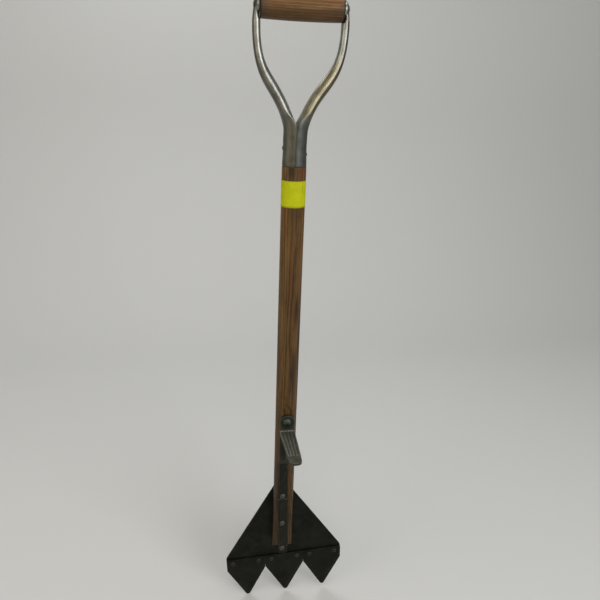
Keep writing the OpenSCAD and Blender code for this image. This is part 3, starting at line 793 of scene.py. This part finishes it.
@dataclass
class PaperBand:
    """A strip of paper wound once round the shaft, its end lapped over its start."""

    look: object
    lap: float = math.radians(24)
    lap_end: float = math.radians(38)
    paper: float = 0.16 * MM
    lift: float = 0.30 * MM
    around: int = 120
    upright: int = 12

    def build(self, bench: Bench) -> bpy.types.Object:
        """Builds the band."""
        low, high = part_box("tape_band")
        inner = (high[1] - low[1]) / 2 - 0.24 * MM
        turn = 2 * math.pi + self.lap
        shape = bmesh.new()
        wear = shape.verts.layers.float.new("wear")
        bmesh.ops.create_grid(shape, x_segments=self.around, y_segments=self.upright, size=0.5)
        for vert in shape.verts:
            u, v = vert.co.x + 0.5, vert.co.y + 0.5
            angle = self.lap_end - u * turn
            over = max(0.0, 1.0 - u * turn / self.lap)
            ends = min(v, 1.0 - v) * 2 * self.upright
            ripple = noise.noise(Vector((angle * 2.2, v * 1.5, 0.0))) * 0.08 * MM
            radius = inner + ripple + (self.paper + self.lift * over**3 if over > 0 else 0.0)
            ragged = noise.noise(Vector((angle * 5.0, round(v) * 9.0, 4.0))) * 0.25 * MM
            z = low[2] + 0.3 * MM + v * (high[2] - low[2] - 0.6 * MM) + ragged
            vert.co = (radius * math.sin(angle), -radius * math.cos(angle), z)
            vert[wear] = max(0.0, 1.0 - ends) + (0.6 if over > 0.97 else 0.0)
        bmesh.ops.recalc_face_normals(shape, faces=shape.faces)
        piece = bench.piece(shape, "paper_band", self.look, "tape_paper", "tape_band")
        wall = piece.modifiers.new("paper", "SOLIDIFY")
        wall.thickness = self.paper
        wall.offset = 0.0
        return piece


@dataclass
class ForgedYoke:
    """Steel D, forged from one socket that splits into two arms, each with an eye.

    Sizes are in millimetres. Heights are above the socket's rim, and x and y are
    from the shaft's centre line.
    """

    look: object
    rim_z: float
    rim: tuple[tuple[float, float], ...] = (
        (0.0, 17.7), (0.7, 18.3), (6.0, 18.2), (14.0, 17.75), (24.0, 17.5), (32.0, 17.55),
    )
    cavity_r: float = 15.7
    cavity_rise: float = 45.0
    groove: float = 1.3
    lip: float = 0.45
    crease: float = 7.0
    seam_shift: float = -1.6
    crotch_shift: float = 0.8
    crotch_rise: float = 57.0
    joint_rise: float = 39.0
    root_r: float = 17.75
    arm_root_t: float = 18.95
    arm_top_t: float = 11.5
    arm_top_depth: float = 15.5
    arm_recess: float = 3.0
    arm_blend: float = 28.0
    inner_lean: float = math.radians(20)
    outer_lean: float = math.radians(15)
    inner_pull: float = 84.0
    outer_pull: float = 56.0
    inner_upright: float = 72.0
    outer_upright: float = 85.0
    grip_rise: float = 212.0
    arm_top_drop: float = 21.0
    face: float = 59.0
    d_offset: float = 3.5
    eye_r: float = 11.0
    eye_t: float = 6.8
    eye_dome: float = 5.0
    drops: tuple[float, ...] = (
        18.6, 17.95, 17.75, 17.5, 17.3, 16.6, 15.2, 13.6, 11.8, 10.4, 8.8, 7.0, 5.0, 2.8, 0.4,
        -2.0, -4.4, -6.6, -8.4, -9.8, -10.6, -10.9,
    )
    half_steps: int = 24
    inner_steps: int = 16
    arm_rings: int = 44
    eye_inset: float = 0.8

    @staticmethod
    def _between(value: float, *stops: tuple[float, float]) -> float:
        """A value read off a line through stops, whose places fall."""
        for (a, low), (b, high) in zip(stops, stops[1:]):
            if value >= b:
                return low + (high - low) * min(1.0, max(0.0, (a - value) / (a - b)))
        return stops[-1][1]

    def _seam_x(self, rise: float) -> float:
        """Sideways place of the seam, which wanders a little and ends in the crotch."""
        share = min(1.0, max(0.0, (rise - 30.0) / (self.crotch_rise - 30.0)))
        wander = noise.noise(Vector((0.0, 3.3, rise / 7.0))) * 0.35
        return self.seam_shift + (self.crotch_shift - self.seam_shift) * share + wander * (1 - share)

    def _opening(self, rise: float) -> float:
        """How far the seam widens into the crotch, from 0 below the crease to 1."""
        return max(0.0, 1 - (self.crotch_rise - rise) / self.crease) ** 2

    def _socket_ring(self, rise: float, radius: float, groove: float) -> list[Vector]:
        """Places of a full ring: the seam's bottom, the right half, the back, the left half."""
        seam = self._seam_x(rise)
        opening = self._opening(rise)
        groove *= 1 + opening
        halves = []
        for side in (1, -1):
            lip = math.asin((side * seam + self.lip * (1 + 0.6 * opening)) / radius)
            half = []
            for i in range(self.half_steps):
                a = lip + (math.pi - lip) * i / self.half_steps
                half.append(Vector((side * radius * math.sin(a), -radius * math.cos(a), rise)))
            halves.append(half)
        bottom = Vector((seam, groove - math.sqrt(radius**2 - seam**2), rise))
        return [bottom, *halves[0], Vector((0.0, radius, rise)), *reversed(halves[1])]

    def _root_ring(self, share: float) -> list[Vector]:
        """Places of a full ring between the socket and the crotch, wider in the D's plane."""
        height = self.crotch_rise - self.joint_rise
        growth = self.arm_root_t - self.root_r
        slope = math.tan(self.outer_lean) * height
        wide = self.root_r + (3 * growth - slope) * share**2 + (slope - 2 * growth) * share**3
        ring = self._socket_ring(self.joint_rise + height * share, self.root_r, self.groove)
        for place in ring:
            spread = 1 + (wide / self.root_r - 1) * min(1.0, abs(place.x) / 4)
            place.x = place.x * spread + self.crotch_shift * share * min(1.0, abs(place.x) / 4)
        ring[self.half_steps + 1].x = self.crotch_shift * share
        return ring

    def _edge(
        self, side: int, root: float, top: float, lean: float, pull: float, upright: float
    ) -> list[Vector]:
        """Points along one edge of an arm, from the crotch to below the grip.

        Args:
            side: 1 at the right, -1 at the left.
            root: the edge's distance from the crotch's middle.
            top: its distance from the D's middle below the grip.
            lean: its lean at the crotch.
            pull: length over which it keeps that lean.
            upright: length over which it comes upright.

        Returns:
            The points, as x and height.
        """
        start = Vector((side * root + self.crotch_shift, self.crotch_rise))
        end = Vector((side * top + self.d_offset, self.grip_rise - self.arm_top_drop))
        leaning = start + pull * Vector((side * math.sin(lean), math.cos(lean)))
        return geometry.interpolate_bezier(
            start, leaning, end - Vector((0.0, upright)), end, self.arm_rings + 1
        )

    def _angles(self) -> list[float]:
        """Angles round an arm from its front lip past its outer side, back and inner side."""
        outer = [math.pi * i / self.half_steps - math.pi / 2 for i in range(self.half_steps + 1)]
        step = math.pi / (self.inner_steps + 1)
        return outer + [math.pi / 2 + step * (i + 1) for i in range(self.inner_steps)]

    def _arm_ring(self, inner: Vector, outer: Vector, half_depth: float) -> list[Vector]:
        """Places of a ring of an arm: half round with a flat inner face, or oval higher up."""
        s = min(1.0, max(0.0, (inner.y - self.crotch_rise) / self.arm_blend))
        half_round = 1 - s * s * (3 - 2 * s)
        ring = []
        for a in self._angles():
            share = max(0.0, math.cos(a)) * half_round + (1 + math.cos(a)) / 2 * (1 - half_round)
            at = inner.lerp(outer, share)
            ring.append(Vector((at.x, half_depth * math.sin(a), at.y)))
        return ring

    def _eye_ring(self, side: int, drop: float) -> list[Vector]:
        """Places of a level ring through the eye, below the grip's centre line by drop."""
        bare = self.arm_top_t - self.arm_recess - self.eye_t
        inset = self.eye_inset
        inside = self._between(
            drop, (17.55, self.arm_recess), (17.3, 2.7), (16.6, 1.9), (15.2, 1.2), (12.0, inset)
        )
        proud = self._between(drop, (18.6, bare), (15.5, 0.8 * bare), (7.0, 0.3 * bare), (1.8, -0.5))
        arm_half = self._between(drop, (15.5, self.arm_top_depth / 2), (7.0, 8.1), (1.8, 7.0))
        disc = math.sqrt(max(0.0, self.eye_r**2 - drop**2))
        depth = max(disc, arm_half) if drop > 1.8 else disc
        center, half = (self.eye_t + proud - inside) / 2, (self.eye_t + proud + inside) / 2
        ring = []
        for a in self._angles():
            y = depth * math.sin(a)
            outward = math.cos(a) > 0.001
            reach = []
            if abs(y) <= disc:
                cap = 1 - min(1.0, (y * y + drop * drop) / self.eye_r**2)
                reach.append(self.eye_t - self.eye_dome * (1 - cap) if outward else -inset)
            if drop > 1.8 and abs(y) <= arm_half + 1e-6:
                swell = half * math.sqrt(max(0.0, 1 - (y / arm_half) ** 2))
                reach.append(center + swell if outward else center - swell)
            x = max(reach) if outward else min(reach)
            ring.append(Vector((side * (self.face + x) + self.d_offset, y, self.grip_rise - drop)))
        return ring

    def _extend(
        self,
        shape: bmesh.types.BMesh,
        ring: list[bmesh.types.BMVert],
        places: list[Vector],
        angles: list[float],
        run: float,
    ) -> list[bmesh.types.BMVert]:
        """Extrudes a closed ring and puts the new one in its place.

        Args:
            shape: the mesh.
            ring: its verts in order.
            places: the new places, in millimetres.
            angles: each vert's angle round the bar, for the scratches.
            run: length along the bar, for the scratches.

        Returns:
            The new ring in the same order.
        """
        flow = shape.verts.layers.float_vector["flow"]
        edges = [shape.edges.get(pair) for pair in zip(ring, ring[1:] + ring[:1])]
        made = bmesh.ops.extrude_edge_only(shape, edges=edges)["geom"]
        fresh = {item for item in made if isinstance(item, bmesh.types.BMVert)}
        after = []
        for vert, place, angle in zip(ring, places, angles):
            twin = next(e.other_vert(vert) for e in vert.link_edges if e.other_vert(vert) in fresh)
            twin.co = place * MM + Vector((0.0, 0.0, self.rim_z))
            twin[flow] = Vector((8 * math.cos(angle), 8 * math.sin(angle), run)) * MM
            after.append(twin)
        return after

    def _socket(self, shape: bmesh.types.BMesh) -> list[bmesh.types.BMVert]:
        """Builds the hollow socket and returns its top ring, level with the crotch."""
        half = self._angles()[: self.half_steps]
        angles = [-math.pi / 2, *half, math.pi / 2, *reversed(half)]
        first = bmesh.ops.create_circle(
            shape, cap_ends=True, segments=len(angles), radius=self.cavity_r * MM
        )["verts"]
        for vert, place in zip(first, self._socket_ring(self.cavity_rise, self.cavity_r, 0.0)):
            vert.co = place * MM + Vector((0.0, 0.0, self.rim_z))
        ring = first
        for rise, radius in ((0.4, self.cavity_r), (0.0, self.cavity_r + 0.4)):
            ring = self._extend(shape, ring, self._socket_ring(rise, radius, 0.0), angles, 0.0)
        for rise, radius in self.rim:
            places = self._socket_ring(rise, radius, self.groove)
            ring = self._extend(shape, ring, places, angles, rise)
        for i in range(7):
            rise = self.joint_rise + (self.crotch_rise - self.joint_rise) * i / 6
            ring = self._extend(shape, ring, self._root_ring(i / 6), angles, rise)
        return ring

    def _crotch(
        self, shape: bmesh.types.BMesh, ring: list[bmesh.types.BMVert]
    ) -> dict[Side, list[bmesh.types.BMVert]]:
        """Divides the top ring by a line from back to front.

        Args:
            shape: the mesh.
            ring: the socket's top ring.

        Returns:
            The ring of each arm.
        """
        bottom, back = ring[0], ring[self.half_steps + 1]
        line = []
        angles = self._angles()[self.half_steps + 1 :]
        for a in angles[:-1]:
            share = (math.sin(a) - math.sin(angles[-1])) / (1 - math.sin(angles[-1]))
            at = bottom.co.lerp(back.co, share)
            line.append(shape.verts.new((self.crotch_shift * MM, at.y, back.co.z)))
        chain = [back, *line, bottom]
        for pair in zip(chain, chain[1:]):
            shape.edges.new(pair)
        return {
            Side.RIGHT: [*ring[1 : self.half_steps + 1], *chain],
            Side.LEFT: [*ring[: self.half_steps + 1 : -1], *chain],
        }

    def _arm(self, shape: bmesh.types.BMesh, ring: list[bmesh.types.BMVert], side: int) -> None:
        """Builds one arm and its eye on a ring at the crotch."""
        top = self.face - self.arm_recess
        outer_top = top + self.arm_top_t
        inner = self._edge(side, 0.0, top, self.inner_lean, self.inner_pull, self.inner_upright)
        outer = self._edge(
            side, self.arm_root_t, outer_top, self.outer_lean, self.outer_pull, self.outer_upright
        )
        angles = self._angles()
        run = self.crotch_rise
        for i in range(1, self.arm_rings + 1):
            thinning = (1 - i / self.arm_rings) ** 1.6
            depth = self.arm_top_depth + (2 * self.root_r - self.arm_top_depth) * thinning
            run += (inner[i] - inner[i - 1]).length
            places = self._arm_ring(inner[i], outer[i], depth / 2)
            ring = self._extend(shape, ring, places, angles, run)
        for drop in self.drops:
            length = run + self.arm_top_drop - drop
            ring = self._extend(shape, ring, self._eye_ring(side, drop), angles, length)
        edges = [shape.edges.get(pair) for pair in zip(ring, ring[1:] + ring[:1])]
        bmesh.ops.contextual_create(shape, geom=edges)

    def build(self, bench: Bench) -> bpy.types.Object:
        """Builds the yoke."""
        shape = bmesh.new()
        shape.verts.layers.float_vector.new("flow")
        shape.verts.layers.float.new("seam")
        for side, ring in self._crotch(shape, self._socket(shape)).items():
            self._arm(shape, ring, side.value)
        # The seam's darkness for the finish: a dark joint, growing into painted shade in the
        # crotch's crease.
        seam = shape.verts.layers.float["seam"]
        for vert in shape.verts:
            rise = (vert.co.z - self.rim_z) / MM
            if vert.co.y < 0 and rise < self.crotch_rise + 0.5:
                near = max(0.0, 1 - abs(vert.co.x / MM - self._seam_x(rise)) / 1.2)
                vert[seam] = near * (0.35 + 0.65 * self._opening(rise))
        bmesh.ops.recalc_face_normals(shape, faces=shape.faces)
        piece = bench.piece(shape, "forged_yoke", self.look, "yoke_steel", "d_yoke")
        smooth = piece.modifiers.new("smooth", "SUBSURF")
        smooth.levels = smooth.render_levels = 1
        return piece


@dataclass
class Studio:
    """Pale floor and backdrop, soft lamps and the camera at the photographed angle."""

    floor_z: float
    eye: Point = (-124.7 * MM, -841.0 * MM, 321.5 * MM)
    yaw: float = math.radians(9.56)
    pitch: float = math.radians(20.90)
    roll: float = math.radians(2.29)
    lens: float = 33.6
    sensor: float = 36.0
    floor_half: float = 4.0
    wall_y: float = 2.0
    bend_r: float = 0.9
    paper: Color = (0.56, 0.565, 0.555)

    def camera(self) -> None:
        """Sets up the camera."""
        forward = Vector((
            math.sin(self.yaw) * math.cos(self.pitch),
            math.cos(self.yaw) * math.cos(self.pitch),
            -math.sin(self.pitch),
        ))
        level = Vector((math.cos(self.yaw), -math.sin(self.yaw), 0.0))
        up = level.cross(forward)
        right = math.cos(self.roll) * level + math.sin(self.roll) * up
        upright = -math.sin(self.roll) * level + math.cos(self.roll) * up
        data = bpy.data.cameras.new("camera")
        data.lens = self.lens
        data.sensor_width = self.sensor
        camera = bpy.data.objects.new("camera", data)
        camera.matrix_world = Matrix((
            (right.x, upright.x, -forward.x, self.eye[0]),
            (right.y, upright.y, -forward.y, self.eye[1]),
            (right.z, upright.z, -forward.z, self.eye[2]),
            (0.0, 0.0, 0.0, 1.0),
        ))
        bpy.context.scene.collection.objects.link(camera)
        bpy.context.scene.camera = camera

    def backdrop(self) -> None:
        """Builds the floor and the wall as one swept sheet."""
        shape = bmesh.new()
        last = shape.verts.new((-self.floor_half, -self.floor_half, self.floor_z))
        edges = []
        places = [(self.wall_y - self.bend_r, self.floor_z)]
        for i in range(1, 13):
            a = math.radians(90 * i / 12)
            places.append((
                self.wall_y - self.bend_r + self.bend_r * math.sin(a),
                self.floor_z + self.bend_r * (1 - math.cos(a)),
            ))
        places.append((self.wall_y, self.floor_z + self.floor_half))
        for y, z in places:
            vert = shape.verts.new((-self.floor_half, y, z))
            edges.append(shape.edges.new((last, vert)))
            last = vert
        swept = bmesh.ops.extrude_edge_only(shape, edges=edges)
        moved = [v for v in swept["geom"] if isinstance(v, bmesh.types.BMVert)]
        bmesh.ops.translate(shape, verts=moved, vec=(2 * self.floor_half, 0, 0))
        bmesh.ops.recalc_face_normals(shape, faces=shape.faces)
        mesh = bpy.data.meshes.new("backdrop")
        shape.to_mesh(mesh)
        shape.free()
        for face in mesh.polygons:
            face.use_smooth = True
        sheet = bpy.data.objects.new("backdrop", mesh)
        bpy.context.scene.collection.objects.link(sheet)
        mesh.materials.append(
            ShaderMaker("backdrop_paper").surface(Base_Color=self.paper, Roughness=0.9)
        )
        sheet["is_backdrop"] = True

    def lamp(
        self, name: str, place: Point, size: float, power: float, color: Color = (1.0, 1.0, 1.0)
    ) -> None:
        """Adds a square soft lamp that faces the knife.

        Args:
            name: the lamp's name.
            place: where it stands.
            size: its side in metres.
            power: its power in watts.
            color: the light's colour.
        """
        data = bpy.data.lights.new(name, "AREA")
        data.energy = power
        data.size = size
        data.color = color
        lamp = bpy.data.objects.new(name, data)
        lamp.location = place
        lamp.rotation_euler = (-Vector(place)).to_track_quat("-Z", "Y").to_euler()
        bpy.context.scene.collection.objects.link(lamp)

    def light(self) -> None:
        """Sets up the lamps and the world."""
        self.lamp("key", (1.41, -2.05, 0.80), 1.5, 37.0, (0.955, 0.98, 1.0))
        self.lamp("front", (-0.42, -2.30, 1.05), 1.0, 14.0, (1.0, 0.89, 0.70))
        self.lamp("left", (-2.20, -0.90, 0.80), 2.0, 24.0, (1.0, 0.95, 0.88))
        self.lamp("top", (0.35, -0.3, 2.3), 1.2, 18.0, (1.0, 0.98, 0.94))
        self.lamp("back", (-0.40, 1.50, 1.70), 1.0, 14.0)
        world = bpy.data.worlds.new("studio")
        bpy.context.scene.world = world
        world.use_nodes = True
        world.node_tree.nodes["Background"].inputs["Color"].default_value = (1.0, 1.0, 1.0, 1.0)
        world.node_tree.nodes["Background"].inputs["Strength"].default_value = 0.22
        bpy.context.scene.view_settings.view_transform = "Standard"


def dress(bench: Bench) -> None:
    """Builds the pieces and gives every node its finish."""
    rim_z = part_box("d_yoke")[0][2]
    step_low, step_top = (corner[2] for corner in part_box("foot_step"))
    grip_low, grip_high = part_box("grip")
    iron = OldIron()
    rivet_iron = OldIron(
        name="rivet_iron",
        dark=(0.030, 0.030, 0.022),
        light=(0.085, 0.082, 0.064),
        rubbed=(0.24, 0.235, 0.20),
        rough=0.42,
    )
    black_rivet = OldIron(
        name="black_rivet",
        dark=(0.013, 0.0135, 0.010),
        light=(0.036, 0.036, 0.029),
        rubbed=(0.11, 0.108, 0.09),
        rough=0.48,
    )
    bolt_iron = OldIron(
        name="bolt_iron",
        dark=(0.022, 0.030, 0.021),
        light=(0.070, 0.080, 0.056),
        rubbed=(0.20, 0.21, 0.165),
        rough=0.38,
    )
    rod_steel = OldIron(
        name="rod_steel",
        dark=(0.10, 0.095, 0.075),
        light=(0.20, 0.195, 0.17),
        rubbed=(0.34, 0.33, 0.30),
        rust=(0.05, 0.035, 0.02),
        rough=0.30,
        metal=0.95,
        axis=Axis.X,
    )
    black = BlackenedSteel()
    wood = ShaftWood(name="shaft_ash", rim_z=rim_z, step_low_z=step_low)
    grip_wood = GripWood(
        name="grip_ash",
        dark=(0.100, 0.050, 0.017),
        middle=(0.168, 0.086, 0.027),
        light=(0.245, 0.134, 0.050),
        axis=Axis.X,
        heart=(-38 * MM, 470 * MM),
        ring=3.6 * MM,
        rough=0.42,
        left_x=grip_low[0],
        right_x=grip_high[0],
        middle_z=(grip_low[2] + grip_high[2]) / 2,
    )
    solids = [
        WornSolid("shaft", "shaft_wood", wood, 0.6 * MM),
        WornSolid("grip", "grip_wood", grip_wood, 0.3 * MM, body="grip"),
        WornSolid("socket_pins", "fastener_steel", rivet_iron, dent=0.12 * MM),
        WornSolid("blade_plate", "blade_steel", black, 0.35 * MM),
        WornSolid("front_strap", "strap_steel", iron, 0.5 * MM, corner=math.radians(50)),
        WornSolid("shaft_rivets", "fastener_steel", rivet_iron, dent=0.25 * MM),
        WornSolid("strap_foot_rivet", "fastener_steel", rivet_iron, dent=0.25 * MM),
        WornSolid("step_bolt", "fastener_steel", bolt_iron, dent=0.15 * MM, dent_size=5 * MM),
        WornSolid("step_washer", "fastener_steel", rivet_iron, 0.25 * MM),
        WornSolid("step_nut", "fastener_steel", rivet_iron, 0.25 * MM),
    ]
    for side in ("left", "center", "right"):
        solids.append(WornSolid(f"{side}_section", "blade_steel", black, 0.12 * MM))
        solids.append(
            WornSolid(f"{side}_section_rivets", "fastener_steel", black_rivet, dent=0.22 * MM)
        )
    for solid in solids:
        solid.build(bench)
    bench.coat(rod_steel, "grip_rod")
    ForgedYoke(YokeSteel(crotch_z=rim_z + 57 * MM), rim_z).build(bench)
    (bolt_left, _, bolt_low), (bolt_right, _, bolt_top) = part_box("step_bolt")
    cast_iron = CastIron(
        tread_z=step_top - 30.9 * MM,
        bolt_x=(bolt_left + bolt_right) / 2,
        bolt_z=(bolt_low + bolt_top) / 2,
    )
    CastStep(cast_iron).build(bench)
    PaperBand(BandPaper()).build(bench)


def main() -> None:
    """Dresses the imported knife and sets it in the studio."""
    logging.basicConfig(level=logging.INFO, format="%(message)s")
    cad_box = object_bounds()
    dress(Bench(frame["nodes"]))
    studio = Studio(floor_z=cad_box[0][2])
    studio.camera()
    studio.backdrop()
    studio.light()


if __name__ == "__main__":
    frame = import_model()
    main()
